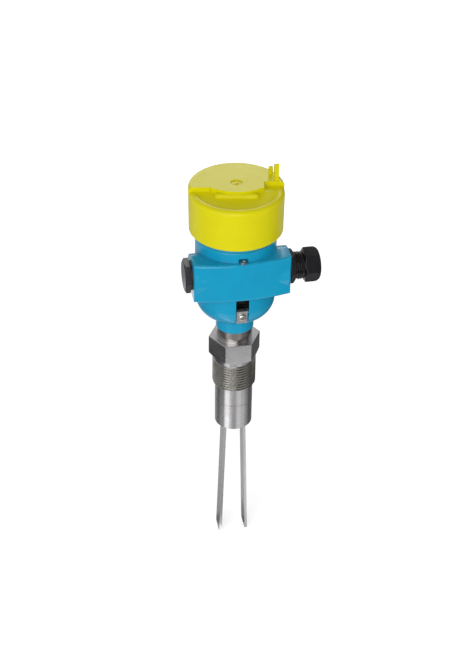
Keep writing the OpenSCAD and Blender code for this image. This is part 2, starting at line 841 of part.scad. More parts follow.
// Case of the switch that sets which state counts as full
module switch_case() color(black_plastic) translate([switch_at.x, switch_at.y, tower_top]) difference() {
    translate([-switch_size.x / 2, -switch_size.y / 2, 0]) cube(switch_size);
    translate([-(slider_size.x + slider_travel) / 2 - run, -slider_size.y / 2 - run, switch_floor])
        cube([slider_size.x + slider_travel + 2 * run, slider_size.y + 2 * run, switch_size.z]);
}

// Slider of that switch, at the left end of its travel
module mode_slider() color(slider_white)
    translate([switch_at.x - (slider_size.x + slider_travel) / 2, switch_at.y - slider_size.y / 2,
        tower_top + switch_floor + seat]) cube(slider_size);

// Case of the sensitivity trimmer
module trimmer_case() color(trimmer_blue)
    translate([trimmer_at.x, trimmer_at.y, tower_top]) difference() {
        translate([-trimmer_size.x / 2, -trimmer_size.y / 2, 0]) cube(trimmer_size);
        translate([0, 0, trimmer_size.z - rotor_h]) cylinder(r = rotor_r + run, h = rotor_h + cut);
    }

// Slotted rotor of the trimmer
module trimmer_rotor() color(brass)
    translate([trimmer_at.x, trimmer_at.y, tower_top + trimmer_size.z - rotor_h + seat]) difference() {
        cylinder(r = rotor_r, h = rotor_h);
        translate([-rotor_r - cut, -slot_w / 2, rotor_h - slot_depth])
            cube([2 * rotor_r + 2 * cut, slot_w, cut]);
    }

// Signal lamp
module status_lamp() color(lamp_red) translate([lamp_at.x, lamp_at.y, tower_top]) {
    cylinder(r = lamp_r, h = lamp_h);
    translate([0, 0, lamp_h]) intersection() {
        sphere(r = lamp_r, $fn = 48);
        cylinder(r = 2 * lamp_r, h = 2 * lamp_r);
    }
}

housing();
cover();
cover_seal();
lock_screw();
blanking_plug();
plug_washer();
gland_body();
gland_washer();
gland_seal();
gland_nut();
ground_clamp();
ground_washer();
ground_screw();
process_fitting();
sensor_fork();
neck_seal();
spigot_nut();
drive_stud();
lower_insulator();
piezo_discs();
electrodes();
upper_insulator();
drive_nut();
lead_wires();
lead_plug();
electronics_insert();
insert_screws();
terminal_block();
terminal_screws();
switch_case();
mode_slider();
trimmer_case();
trimmer_rotor();
status_lamp();
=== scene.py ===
import math

import bpy
from mathutils import Matrix, Vector


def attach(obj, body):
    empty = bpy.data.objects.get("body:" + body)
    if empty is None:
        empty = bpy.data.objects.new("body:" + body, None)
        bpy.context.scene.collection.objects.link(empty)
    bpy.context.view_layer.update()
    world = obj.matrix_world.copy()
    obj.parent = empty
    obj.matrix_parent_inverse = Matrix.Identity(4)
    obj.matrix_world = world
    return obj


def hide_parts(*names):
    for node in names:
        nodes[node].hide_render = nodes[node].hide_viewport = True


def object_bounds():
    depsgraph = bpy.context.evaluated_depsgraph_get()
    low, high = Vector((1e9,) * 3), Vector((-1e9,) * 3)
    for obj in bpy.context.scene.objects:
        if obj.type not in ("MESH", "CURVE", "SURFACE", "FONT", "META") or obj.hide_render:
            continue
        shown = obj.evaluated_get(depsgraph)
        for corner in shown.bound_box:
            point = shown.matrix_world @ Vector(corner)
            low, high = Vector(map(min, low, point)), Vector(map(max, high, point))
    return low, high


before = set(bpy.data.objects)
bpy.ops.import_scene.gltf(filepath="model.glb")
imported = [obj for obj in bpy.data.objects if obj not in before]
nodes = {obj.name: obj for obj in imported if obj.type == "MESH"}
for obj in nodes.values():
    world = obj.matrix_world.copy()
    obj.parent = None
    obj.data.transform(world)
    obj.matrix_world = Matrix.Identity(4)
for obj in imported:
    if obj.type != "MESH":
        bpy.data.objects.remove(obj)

# The solids' own box, whose bottom sets the level of the floor and the cards
cad_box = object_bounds()

MM = 0.001

# Levels and radii of the switch in millimetres; level 0 is the top of the process thread
SPIGOT_TOP, SPIGOT_R, SPIGOT_EDGE, BORE_R = 53.5, 11.5, 0.5, 9.0
RING_GROOVE = (34.46, 36.26, 9.85)  # lower level, upper level, radius
COLLAR_TOP, COLLAR_R, COLLAR_EDGE = 30.4, 13.4, 0.3
HEX_TOP, HEX_BOTTOM, HEX_AF, HEX_EDGE = 21.1, 4.5, 34.0, 0.25
HEX_CHAMFER, HEX_CHAMFER_DEG = 0.3, 30
RELIEF_R = 15.6
THREAD_R, THREAD_LEN, THREAD_CHAMFER = 16.625, 22.7, 1.6
THREAD_PITCH, THREAD_DEPTH = 2.309, 0.8
THREAD_CREST, THREAD_FLANK = 0.4, 0.5  # shares of half a pitch
SLEEVE_R, WELD_Z, FORK_FACE_Z = 14.5, -38.4, -61.6
MOUTH_R, MOUTH_THREAD_Z = 28.4, (115.0, 133.0)
GLAND_AXIS = (-15.0, 86.5)  # Y and Z
GLAND_NECK_R, GLAND_NECK_X, GLAND_RUNOUT = 9.4, (39.5, 46.3), 0.9
SLOT_X, SLOT_Y, SLOT_Z = (-4.75, 4.75), (-29.6, -21.0), (60.3, 70.1)


# Node helpers

def place(tree, kind, inputs=None, **settings):
    """Adds a node, sets its properties, and fills its inputs with values or links."""
    node = tree.nodes.new(kind)
    for name, value in settings.items():
        setattr(node, name, value)
    for name, value in (inputs or {}).items():
        if isinstance(value, bpy.types.NodeSocket):
            tree.links.new(value, node.inputs[name])
        else:
            node.inputs[name].default_value = value
    return node


def work_out(tree, operation, a, b=0.0):
    return place(tree, "ShaderNodeMath", {0: a, 1: b}, operation=operation).outputs[0]


def times(tree, a, b):
    return work_out(tree, "MULTIPLY", a, b)


def stretch(tree, value, low, high, to_low=0.0, to_high=1.0):
    """Maps a value from one range to another and holds it there."""
    node = place(tree, "ShaderNodeMapRange", {"Value": value, "From Min": low, "From Max": high,
                                              "To Min": to_low, "To Max": to_high})
    return node.outputs["Result"]


def within(tree, value, low, high):
    """1 where a value lies between two limits."""
    return times(tree, work_out(tree, "GREATER_THAN", value, low),
                 work_out(tree, "LESS_THAN", value, high))


def tint(tree, share, first, second):
    """Mixes a share of the second colour into the first."""
    node = place(tree, "ShaderNodeMix", {0: share, 6: first, 7: second}, data_type="RGBA")
    return node.outputs[2]


def split(tree, vector):
    """The X, Y and Z of a vector."""
    return tuple(place(tree, "ShaderNodeSeparateXYZ", {0: vector}).outputs)


def join(tree, x, y, z=0.0):
    return place(tree, "ShaderNodeCombineXYZ", {"X": x, "Y": y, "Z": z}).outputs[0]


def length(tree, vector):
    return place(tree, "ShaderNodeVectorMath", {0: vector}, operation="LENGTH").outputs["Value"]


def noise(tree, spot, scale, detail, roughness=0.5):
    return place(tree, "ShaderNodeTexNoise", {"Vector": spot, "Scale": scale, "Detail": detail,
                                              "Roughness": roughness}).outputs[0]


def millimetres(tree):
    """Place on the object in millimetres, the same in every pose."""
    spot = place(tree, "ShaderNodeTexCoord").outputs["Object"]
    return place(tree, "ShaderNodeVectorMath", {0: spot, "Scale": 1.0 / MM},
                 operation="SCALE").outputs[0]


def start_effect(name, takes, gives):
    """Opens a shader node group and returns it with its input and output sockets."""
    group = bpy.data.node_groups.new(name, "ShaderNodeTree")
    for label, value in takes:
        group.interface.new_socket(name=label, in_out="INPUT",
                                   socket_type="NodeSocketFloat").default_value = value
    for label, kind in gives:
        group.interface.new_socket(name=label, in_out="OUTPUT", socket_type=kind)
    return group, place(group, "NodeGroupInput").outputs, place(group, "NodeGroupOutput").inputs


# Effects that several finishes share

NOISE_RANGE = (0.3, 0.7)  # nearly all of a noise lies between these
EDGE_AGREE = (0.99, 0.8)  # how far softened and plain normals agree, from no edge to a full one
WAVES_TO_GRAIN = 0.16
SPECKS_A_MM, SPECK_RANGE, FACING_UP = 2.2, (0.5, 0.75), (0.2, 1.0)
TURNED_DRIFT, DRAWN_DRIFT = 0.06, 0.05  # how soon a tool line changes along its own way, per mm


def make_worn_and_highlit_edge():
    """Softens the shading of sharp edges and marks them, so that they can be painted brighter,
    partly as wear and partly as painted highlight.
    """
    group, takes, gives = start_effect("worn and highlit edge", [("Radius mm", 0.3)],
                                       [("Normal", "NodeSocketVector"), ("Edge", "NodeSocketFloat")])
    radius = times(group, takes["Radius mm"], MM)
    softened = place(group, "ShaderNodeBevel", {"Radius": radius}, samples=6).outputs["Normal"]
    plain = place(group, "ShaderNodeNewGeometry").outputs["Normal"]
    agree = place(group, "ShaderNodeVectorMath", {0: softened, 1: plain},
                  operation="DOT_PRODUCT").outputs["Value"]
    group.links.new(softened, gives["Normal"])
    group.links.new(stretch(group, agree, *EDGE_AGREE), gives["Edge"])
    return group


def make_moulded_skin():
    """Fine grain on slow waves, as on coated castings and moulded plastics."""
    group, takes, gives = start_effect("moulded skin", [("Grain mm", 0.5), ("Waves", 0.5)],
                                       [("Height", "NodeSocketFloat")])
    spot = millimetres(group)
    fine = work_out(group, "DIVIDE", 1.0, takes["Grain mm"])
    grain = noise(group, spot, fine, 2.0)
    waves = noise(group, spot, times(group, fine, WAVES_TO_GRAIN), 1.0)
    height = work_out(group, "ADD", grain, times(group, waves, takes["Waves"]))
    group.links.new(height, gives["Height"])
    return group


def make_handling():
    """Faint smudges all over and dust on what faces up."""
    group, takes, gives = start_effect("handling", [("Smudge mm", 14.0)],
                                       [("Smudge", "NodeSocketFloat"), ("Dust", "NodeSocketFloat")])
    spot = millimetres(group)
    size = work_out(group, "DIVIDE", 1.0, takes["Smudge mm"])
    smear = noise(group, spot, size, 4.0, roughness=0.6)
    specks = noise(group, spot, SPECKS_A_MM, 3.0)
    _, _, facing = split(group, place(group, "ShaderNodeNewGeometry").outputs["Normal"])
    dust = times(group, stretch(group, facing, *FACING_UP), stretch(group, specks, *SPECK_RANGE))
    group.links.new(stretch(group, smear, *NOISE_RANGE), gives["Smudge"])
    group.links.new(dust, gives["Dust"])
    return group


def make_tool_lines():
    """Lines left by the lathe around the axis, or by drawing along it."""
    group, takes, gives = start_effect("tool lines", [("Lines a mm", 5.0)],
                                       [("Turned", "NodeSocketFloat"), ("Drawn", "NodeSocketFloat")])
    lines_a_mm = takes["Lines a mm"]
    x, y, z = split(group, millimetres(group))
    out = length(group, join(group, x, y))
    turned = join(group, times(group, x, TURNED_DRIFT), times(group, y, TURNED_DRIFT),
                  times(group, work_out(group, "ADD", z, out), lines_a_mm))
    drawn = join(group, times(group, x, lines_a_mm), times(group, y, lines_a_mm),
                 times(group, z, DRAWN_DRIFT))
    for name, way in (("Turned", turned), ("Drawn", drawn)):
        lines = noise(group, way, 1.0, 3.0)
        group.links.new(stretch(group, lines, *NOISE_RANGE), gives[name])
    return group


worn_and_highlit_edge = make_worn_and_highlit_edge()
moulded_skin = make_moulded_skin()
handling = make_handling()
tool_lines = make_tool_lines()


# Finishes

DUST = (0.62, 0.6, 0.56, 1)
DUST_ROUGHENS = 2
# Edges of moulded finishes turn paler, partly as wear and partly as painted highlight
EDGE_WEAR_AND_HIGHLIGHT_PALER = 0.25
MOULDED_SPREAD = (0.9, 1.12)  # of the roughness, from clean to smudged
METAL_SPREAD = (0.85, 1.2)
# Metal edges turn brighter, partly as wear and partly as painted highlight
EDGE_WEAR_AND_HIGHLIGHT_METAL, METAL_EDGE_WEAR_AND_HIGHLIGHT = (0.82, 0.82, 0.83, 1), 0.45
LINES_DEEPEN, LINES_ROUGHEN, SMUDGES_DEEPEN = 0.35, 0.08, 0.25

# Colours of zones on a piece, with the share that each takes
# Painted shade: near black for the deep slot of the earth wire
SLOT_PAINTED_SHADE = (0.004, 0.005, 0.006, 1)
THREAD_DULL, THREAD_SHARE = (0.23, 0.22, 0.18, 1), 0.9
# Painted shade: darker, browner steel above the hexagon, where the collar lies under the housing
COLLAR_PAINTED_SHADE, COLLAR_SHADE_SHARE = (0.30, 0.26, 0.22, 1), 0.6
WELD_HEAT, WELD_SHARE, WELD_HEAT_MM = (0.5, 0.45, 0.38, 1), 0.15, (3.4, 0.6)


def start_finish(name):
    material = bpy.data.materials.new(name)
    material.use_nodes = True
    tree = material.node_tree
    return material, tree, tree.nodes["Principled BSDF"]


def use_effect(tree, group, **values):
    node = place(tree, "ShaderNodeGroup", node_tree=group)
    for name, value in values.items():
        node.inputs[name.replace("_", " ")].default_value = value
    return node.outputs


def roughen(tree, shader, height, distance_mm, normal):
    bump = place(tree, "ShaderNodeBump", {"Strength": 1.0, "Distance": distance_mm * MM,
                                          "Height": height, "Normal": normal})
    tree.links.new(bump.outputs[0], shader.inputs["Normal"])


def smudged(tree, marks, roughness, spread):
    """Roughness that rises from clean spots to smudges."""
    clean, dirty = spread
    return stretch(tree, marks["Smudge"], 0.0, 1.0, roughness * clean, roughness * dirty)


def moulded_finish(name, colour, deep, roughness, grain_mm, grain_height_mm, edge_mm=0.3, waves=0.5,
                   edge_wear_and_highlight=0.12, dusty=0.05, shine=0.5, coat=0.0, coat_roughness=0.1, zones=None):
    """Plastic, rubber, ceramic or paint: a colour that drifts, paler edges as wear and painted
    highlight, and fine grain.
    """
    material, tree, shader = start_finish(name)
    edge = use_effect(tree, worn_and_highlit_edge, Radius_mm=edge_mm)
    marks = use_effect(tree, handling)
    skin = use_effect(tree, moulded_skin, Grain_mm=grain_mm, Waves=waves)
    body = tint(tree, marks["Smudge"], (*colour, 1), (*deep, 1))
    pale = [value + (1 - value) * EDGE_WEAR_AND_HIGHLIGHT_PALER for value in colour]
    # Paler edges: wear and painted highlight
    body = tint(tree, times(tree, edge["Edge"], edge_wear_and_highlight), body, (*pale, 1))
    body = tint(tree, times(tree, marks["Dust"], dusty), body, DUST)
    if zones:
        body = zones(tree, body)
    rough = smudged(tree, marks, roughness, MOULDED_SPREAD)
    rough = work_out(tree, "ADD", rough, times(tree, marks["Dust"], dusty * DUST_ROUGHENS))
    tree.links.new(body, shader.inputs["Base Color"])
    tree.links.new(rough, shader.inputs["Roughness"])
    shader.inputs["Specular IOR Level"].default_value = shine
    shader.inputs["Coat Weight"].default_value = coat
    shader.inputs["Coat Roughness"].default_value = coat_roughness
    roughen(tree, shader, skin["Height"], grain_height_mm, edge["Normal"])
    return material


def metal_finish(name, colour, deep, roughness, lines_a_mm=5.0, lines_mm=0.004, edge_mm=0.25,
                 zones=None):
    """Bare metal with tool lines, brighter edges as wear and painted highlight, and faint smudges.
    """
    material, tree, shader = start_finish(name)
    edge = use_effect(tree, worn_and_highlit_edge, Radius_mm=edge_mm)
    marks = use_effect(tree, handling)
    cuts = use_effect(tree, tool_lines, Lines_a_mm=lines_a_mm)
    lines = cuts["Turned"]
    body = tint(tree, times(tree, lines, LINES_DEEPEN), (*colour, 1), (*deep, 1))
    if zones:
        body, lines = zones(tree, body, cuts)
    body = tint(tree, times(tree, marks["Smudge"], SMUDGES_DEEPEN), body, (*deep, 1))
    # Brighter edges: wear and painted highlight
    body = tint(tree, times(tree, edge["Edge"], METAL_EDGE_WEAR_AND_HIGHLIGHT), body, EDGE_WEAR_AND_HIGHLIGHT_METAL)
    rough = smudged(tree, marks, roughness, METAL_SPREAD)
    rough = work_out(tree, "ADD", rough, times(tree, lines, LINES_ROUGHEN))
    tree.links.new(body, shader.inputs["Base Color"])
    tree.links.new(rough, shader.inputs["Roughness"])
    shader.inputs["Metallic"].default_value = 1.0
    roughen(tree, shader, lines, lines_mm, edge["Normal"])
    return material


def housing_slot_shade(tree, body):
    """Painted shade: the paint in the slot for the earth wire is darkened to near black, as the deep
    shadow of its recess.
    """
    x, y, z = split(tree, millimetres(tree))
    slot = times(tree, within(tree, x, *SLOT_X), within(tree, y, *SLOT_Y))
    return tint(tree, times(tree, slot, within(tree, z, *SLOT_Z)), body, SLOT_PAINTED_SHADE)


def sensor_zones(tree, body, cuts):
    """Dull thread, painted shade on the collar under the housing, heat tint on both sides of the
    weld, and drawn lines on the tines.
    """
    _, _, level = split(tree, millimetres(tree))
    thread = times(tree, stretch(tree, level, -THREAD_LEN - 0.3, -THREAD_LEN + 0.3),
                   stretch(tree, level, 0.5, -0.3))
    body = tint(tree, times(tree, thread, THREAD_SHARE), body, THREAD_DULL)
    # Painted shade on the collar under the housing
    collar = stretch(tree, level, HEX_TOP + 0.05, HEX_TOP + 0.6)
    body = tint(tree, times(tree, collar, COLLAR_SHADE_SHARE), body, COLLAR_PAINTED_SHADE)
    off = work_out(tree, "ABSOLUTE", work_out(tree, "SUBTRACT", level, WELD_Z))
    body = tint(tree, stretch(tree, off, *WELD_HEAT_MM, 0.0, WELD_SHARE), body, WELD_HEAT)
    on_tines = stretch(tree, level, FORK_FACE_Z - 0.2, FORK_FACE_Z - 0.6)
    lines = place(tree, "ShaderNodeMix", {0: on_tines, 2: cuts["Turned"], 3: cuts["Drawn"]},
                  data_type="FLOAT")
    return body, lines.outputs[0]


def lens_finish(name, colour):
    """Clear tinted lens with slow streaks of denser colour."""
    material, tree, shader = start_finish(name)
    skin = use_effect(tree, moulded_skin, Grain_mm=0.6, Waves=0.8)
    edge = use_effect(tree, worn_and_highlit_edge, Radius_mm=0.15)
    deep = [value * 0.45 for value in colour]
    streaks = stretch(tree, skin["Height"], 0.4, 1.3)
    tree.links.new(tint(tree, streaks, (*colour, 1), (*deep, 1)), shader.inputs["Base Color"])
    shader.inputs["Roughness"].default_value = 0.08
    shader.inputs["Transmission Weight"].default_value = 0.35
    shader.inputs["IOR"].default_value = 1.49
    tree.links.new(edge["Normal"], shader.inputs["Normal"])
    return material


# Name, colour, deeper colour, roughness, then the size and height of the grain in millimetres
housing_paint = moulded_finish(
    "housing paint", (0.006, 0.345, 0.575), (0.005, 0.312, 0.54), 0.2, 1.1, 0.010, edge_mm=1.0,
    waves=1.2, edge_wear_and_highlight=0.04, shine=0.32, coat=0.1, coat_roughness=0.06, zones=housing_slot_shade)
cover_plastic = moulded_finish(
    "cover plastic", (0.74, 0.68, 0.001), (0.71, 0.645, 0.001), 0.33, 0.9, 0.006, edge_mm=0.2,
    waves=0.8, edge_wear_and_highlight=0.03, dusty=0.02, shine=0.2)
black_nylon = moulded_finish(
    "black nylon", (0.006, 0.006, 0.0075), (0.009, 0.009, 0.011), 0.24, 0.35, 0.006, edge_mm=0.4,
    edge_wear_and_highlight=0.04, dusty=0.01, shine=0.45)
grey_nylon = moulded_finish(
    "grey nylon", (0.010, 0.010, 0.015), (0.014, 0.014, 0.020), 0.3, 0.35, 0.008, edge_mm=0.3,
    edge_wear_and_highlight=0.06, dusty=0.03, shine=0.35)
seal_rubber = moulded_finish(
    "seal rubber", (0.014, 0.014, 0.014), (0.022, 0.022, 0.022), 0.62, 0.3, 0.016)
black_moulding = moulded_finish(
    "black moulding", (0.018, 0.018, 0.02), (0.026, 0.026, 0.028), 0.45, 0.3, 0.014)
green_moulding = moulded_finish(
    "green moulding", (0.03, 0.17, 0.07), (0.025, 0.14, 0.06), 0.42, 0.3, 0.008)
blue_moulding = moulded_finish(
    "blue moulding", (0.015, 0.06, 0.28), (0.012, 0.05, 0.23), 0.42, 0.3, 0.008)
white_moulding = moulded_finish(
    "white moulding", (0.78, 0.78, 0.76), (0.7, 0.7, 0.68), 0.4, 0.3, 0.006)
wire_sleeve = moulded_finish(
    "wire sleeve", (0.5, 0.02, 0.015), (0.42, 0.016, 0.012), 0.4, 0.4, 0.006)
white_ceramic = moulded_finish(
    "white ceramic", (0.8, 0.78, 0.72), (0.74, 0.71, 0.64), 0.3, 0.2, 0.005)
piezo_ceramic = moulded_finish(
    "piezo ceramic", (0.36, 0.3, 0.2), (0.3, 0.25, 0.17), 0.5, 0.2, 0.008)

# Name, colour, deeper colour, roughness
turned_steel = metal_finish(
    "turned steel", (0.60, 0.59, 0.60), (0.45, 0.44, 0.45), 0.2, zones=sensor_zones)
screw_steel = metal_finish(
    "screw steel", (0.78, 0.75, 0.72), (0.55, 0.52, 0.49), 0.24, lines_a_mm=9.0, lines_mm=0.003,
    edge_mm=0.15)
plated_steel = metal_finish(
    "plated steel", (0.66, 0.65, 0.64), (0.5, 0.49, 0.48), 0.42, lines_a_mm=6.0, lines_mm=0.003,
    edge_mm=0.3)
plain_brass = metal_finish(
    "plain brass", (0.74, 0.55, 0.24), (0.55, 0.4, 0.16), 0.26, lines_a_mm=7.0)
red_lens = lens_finish("red lens", (0.55, 0.012, 0.01))

FINISHES = {
    "housing": housing_paint, "cover": cover_plastic, "cover_seal": seal_rubber,
    "lock_screw": screw_steel, "blanking_plug": grey_nylon, "plug_washer": seal_rubber,
    "gland_body": black_nylon, "gland_washer": seal_rubber, "gland_seal": seal_rubber,
    "gland_nut": black_nylon, "ground_clamp": plated_steel, "ground_washer": plated_steel,
    "ground_screw": screw_steel, "process_fitting": turned_steel, "sensor_fork": turned_steel,
    "neck_seal": seal_rubber, "spigot_nut": plain_brass, "drive_stud": screw_steel,
    "lower_insulator": white_ceramic, "piezo_discs": piezo_ceramic, "electrodes": plain_brass,
    "upper_insulator": white_ceramic, "drive_nut": screw_steel, "lead_wires": wire_sleeve,
    "lead_plug": black_moulding, "electronics_insert": black_moulding,
    "insert_screws": screw_steel, "terminal_block": green_moulding, "terminal_screws": screw_steel,
    "switch_case": black_moulding, "mode_slider": white_moulding, "trimmer_case": blue_moulding,
    "trimmer_rotor": plain_brass, "status_lamp": red_lens,
}

for name, finish in FINISHES.items():
    mesh = nodes[name].data
    mesh.materials.clear()
    mesh.materials.append(finish)


# Pieces made here

FITTING_COLUMNS, FITTING_THREAD_ROWS, FITTING_SHARP = 192, 126, 30
RIDGE_SINK, RIDGE_FADE = 0.08, 0.3  # millimetres into the wall, and share of a turn
BEAD_COLUMNS, BEAD_ROWS, BEAD_SCALES = 336, 9, 84
BEAD_HALF, BEAD_SINK, BEAD_DEEP = 0.8, 0.05, 0.4


def add_piece(name, points_mm, faces, finish, body="base", sharp=38):
    mesh = bpy.data.meshes.new(name)
    mesh.from_pydata([Vector(point) * MM for point in points_mm], [], faces)
    mesh.validate()
    mesh.shade_smooth()
    mesh.set_sharp_from_angle(angle=math.radians(sharp))
    mesh.materials.append(finish)
    piece = bpy.data.objects.new(name, mesh)
    bpy.context.scene.collection.objects.link(piece)
    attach(piece, body)
    return piece


def skin_of_rings(rings, closed=False):
    """Joins rings with the same number of points into one skin, the last to the first if closed."""
    count = len(rings[0])
    points = [point for ring in rings for point in ring]
    faces = []
    for row in range(len(rings) if closed else len(rings) - 1):
        here, there = row * count, (row + 1) % len(rings) * count
        for i in range(count):
            j = (i + 1) % count
            faces.append((here + i, there + i, there + j, here + j))
    return points, faces


def around(profile, columns):
    """Turns (radius, level) pairs, or functions of the angle that give one, about the Z axis."""
    rings = []
    for row in profile:
        ring = []
        for i in range(columns):
            angle = 2 * math.pi * i / columns
            radius, level = row(angle) if callable(row) else row
            ring.append((radius * math.cos(angle), radius * math.sin(angle), level))
        rings.append(ring)
    return rings


def hex_r(angle):
    """Radius of the wrench hexagon, whose flats face front and back."""
    return HEX_AF / 2 / math.cos(math.radians(math.degrees(angle) % 60 - 30))


def thread_r(angle, level):
    """Radius of the helical process thread, cut back by the chamfer at its lower end."""
    turn = (level / THREAD_PITCH - angle / (2 * math.pi)) % 1
    groove = min(1, max(0, (1 - abs(2 * turn - 1) - THREAD_CREST) / THREAD_FLANK))
    radius = THREAD_R - THREAD_DEPTH * groove
    return min(radius, THREAD_R - THREAD_CHAMFER + level + THREAD_LEN)


def make_process_fitting():
    """Spigot, collar, hexagon, relief, thread and sleeve, turned as one skin around the bore."""
    face = HEX_AF / 2 - HEX_CHAMFER
    slope = math.tan(math.radians(HEX_CHAMFER_DEG))
    low, high, groove_r = RING_GROOVE
    rows = [
        (BORE_R, SPIGOT_TOP), (SPIGOT_R - SPIGOT_EDGE, SPIGOT_TOP),
        (SPIGOT_R, SPIGOT_TOP - SPIGOT_EDGE),
        (SPIGOT_R, high), (groove_r, high), (groove_r, low), (SPIGOT_R, low),
        (SPIGOT_R, COLLAR_TOP), (COLLAR_R - COLLAR_EDGE, COLLAR_TOP),
        (COLLAR_R, COLLAR_TOP - COLLAR_EDGE), (COLLAR_R, HEX_TOP),
        lambda a: (hex_r(a) - HEX_EDGE, HEX_TOP), lambda a: (hex_r(a), HEX_TOP - HEX_EDGE),
        lambda a: (hex_r(a), HEX_BOTTOM + (hex_r(a) - face) * slope), (face, HEX_BOTTOM),
        (RELIEF_R, HEX_BOTTOM), (RELIEF_R, 0.0),
    ]
    for step in range(FITTING_THREAD_ROWS + 1):
        level = -THREAD_LEN * step / FITTING_THREAD_ROWS
        rows.append(lambda a, level=level: (thread_r(a, level), level))
    rows += [(SLEEVE_R, -THREAD_LEN), (SLEEVE_R, WELD_Z), (BORE_R, WELD_Z)]
    points, faces = skin_of_rings(around(rows, FITTING_COLUMNS), closed=True)
    piece = add_piece("fitting_turned", points, faces, turned_steel,
                      sharp=FITTING_SHARP)
    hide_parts("process_fitting")


def helix(radius, height, foot, crest, pitch, start, end, columns=96):
    """A thread ridge of trapezoidal section about the Z axis, which rises and fades at its ends."""
    turns = (end - start) / pitch
    count = int(turns * columns)
    fade = columns * RIDGE_FADE
    rings = []
    for i in range(count + 1):
        angle = 2 * math.pi * i / columns
        level = start + pitch * i / columns
        rise = height * min(1, i / fade, (count - i) / fade)
        section = ((radius - RIDGE_SINK, -foot / 2), (radius + rise, -crest / 2),
                   (radius + rise, crest / 2), (radius - RIDGE_SINK, foot / 2))
        rings.append([(r * math.cos(angle), r * math.sin(angle), level + z) for r, z in section])
    points, faces = skin_of_rings(rings)
    last = len(points) - 4
    faces += [(3, 2, 1, 0), (last, last + 1, last + 2, last + 3)]
    return points, faces


def make_threads():
    """Ridges on the housing's mouth and on the neck of the gland's body."""
    start, end = MOUTH_THREAD_Z
    points, faces = helix(MOUTH_R, height=0.8, foot=2.1, crest=0.8, pitch=3.0, start=start, end=end)
    add_piece("mouth_thread", points, faces, housing_paint)
    start, end = GLAND_NECK_X
    points, faces = helix(GLAND_NECK_R, height=0.75, foot=1.5, crest=0.5, pitch=1.9,
                          start=start + GLAND_RUNOUT, end=end - GLAND_RUNOUT, columns=64)
    y, z = GLAND_AXIS
    points = [(px, y + py, z - pz) for pz, py, px in points]
    add_piece("gland_thread", points, faces, black_nylon)


def make_weld_seam():
    """Low scaled bead around the joint of the two sleeve halves."""
    rows = []
    for step in range(BEAD_ROWS):
        across = -1 + step / (BEAD_ROWS // 2)

        def row(angle, across=across):
            scale = abs((angle * (BEAD_SCALES / 2) / math.pi + 0.35 * across * across) % 1 - 0.5)
            rise = (0.04 + 0.05 * scale) * (1 - across * across)
            radius = SLEEVE_R - BEAD_SINK + rise + BEAD_SINK * (1 - across ** 6)
            return radius, WELD_Z + BEAD_HALF * across
        rows.append(row)
    rows += [(SLEEVE_R - BEAD_DEEP, WELD_Z + BEAD_HALF), (SLEEVE_R - BEAD_DEEP, WELD_Z - BEAD_HALF)]
    points, faces = skin_of_rings(around(rows, BEAD_COLUMNS), closed=True)
    add_piece("weld_seam", points, faces, turned_steel)


make_process_fitting()
make_threads()
make_weld_seam()


# Camera, at the photograph's viewing angle

VIEW_AZIMUTH, VIEW_ELEVATION, VIEW_ROLL = -11.35, 36.41, 0.87
VIEW_CENTRE = (0, 0, -1.85 * MM)
LONG_SIDE = 650  # pixels, as are the next two
FOCAL_LENGTH = 1308.36
SHIFT = (-0.98, 32.71)
SENSOR_MM = 36


def make_camera():
    azimuth, elevation, roll = (math.radians(value)
                                for value in (VIEW_AZIMUTH, VIEW_ELEVATION, VIEW_ROLL))
    back = Vector((math.sin(azimuth) * math.cos(elevation),
                   -math.cos(azimuth) * math.cos(elevation), math.sin(elevation)))
    right = Vector((math.cos(azimuth), math.sin(azimuth), 0))
    up = back.cross(right)
    tilted_right = right * math.cos(roll) + up * math.sin(roll)
    tilted_up = up * math.cos(roll) - right * math.sin(roll)
    eye = Vector(VIEW_CENTRE) + back
    camera = bpy.data.cameras.new("camera")
    camera.lens = FOCAL_LENGTH * SENSOR_MM / LONG_SIDE
    camera.sensor_width = SENSOR_MM
    camera.shift_x, camera.shift_y = (pixels / LONG_SIDE for pixels in SHIFT)
    camera.clip_start = 0.01
    holder = bpy.data.objects.new("camera", camera)
    columns = (tilted_right, tilted_up, back, eye)
    holder.matrix_world = Matrix([*([column[axis] for column in columns] for axis in range(3)),
                                  (0, 0, 0, 1)])
    bpy.context.scene.collection.objects.link(holder)
    bpy.context.scene.camera = holder


# Studio: pale floor, white surround, soft lamps, and sheets that only reflections see

SURROUND_LIGHT = 0.42
FLOOR_REACH = 3.0
FLOOR_PALE = (0.8, 0.8, 0.8, 1)
FLOOR_GLOW = (0.5, 1.0)  # near the switch and further out
FLOOR_FADE = (0.35, 0.9)  # metres from the middle

# Low cards around the switch: first and last azimuth in degrees, from the front towards the right,
# then the brightness of the near, middle and far part
CARDS = [
    (-190, -155, 0.5, 1.0, 1.2), (-155, -132, 0.4, 0.2, 0.5), (-132, -100, 0.2, 0.04, 0.2),
    (-100, -64, 0.4, 0.04, 0.2), (-64, -34, 1.7, 1.2, 0.3), (-34, -18, 0.8, 0.7, 0.12),
    (-18, 8, 0.45, 0.75, 0.1), (8, 34, 0.95, 0.95, 0.12), (34, 62, 0.75, 0.5, 0.06),
    (62, 84, 0.4, 0.3, 0.05), (84, 130, 0.14, 0.1, 0.03), (130, 170, 0.25, 0.15, 0.05),
]
CARD_REACH = (0.001, 0.215, 0.3, 1.2)
CARD_LIFT = 1 * MM
CARD_STEP = 5  # degrees
SCREEN_STEPS = 24
CANOPY_SIDES = 48


def start_plain(name):
    """Opens a material without its usual shader and returns it with its tree and last socket."""
    material, tree, shader = start_finish(name)
    tree.nodes.remove(shader)
    return material, tree, tree.nodes["Material Output"].inputs["Surface"]


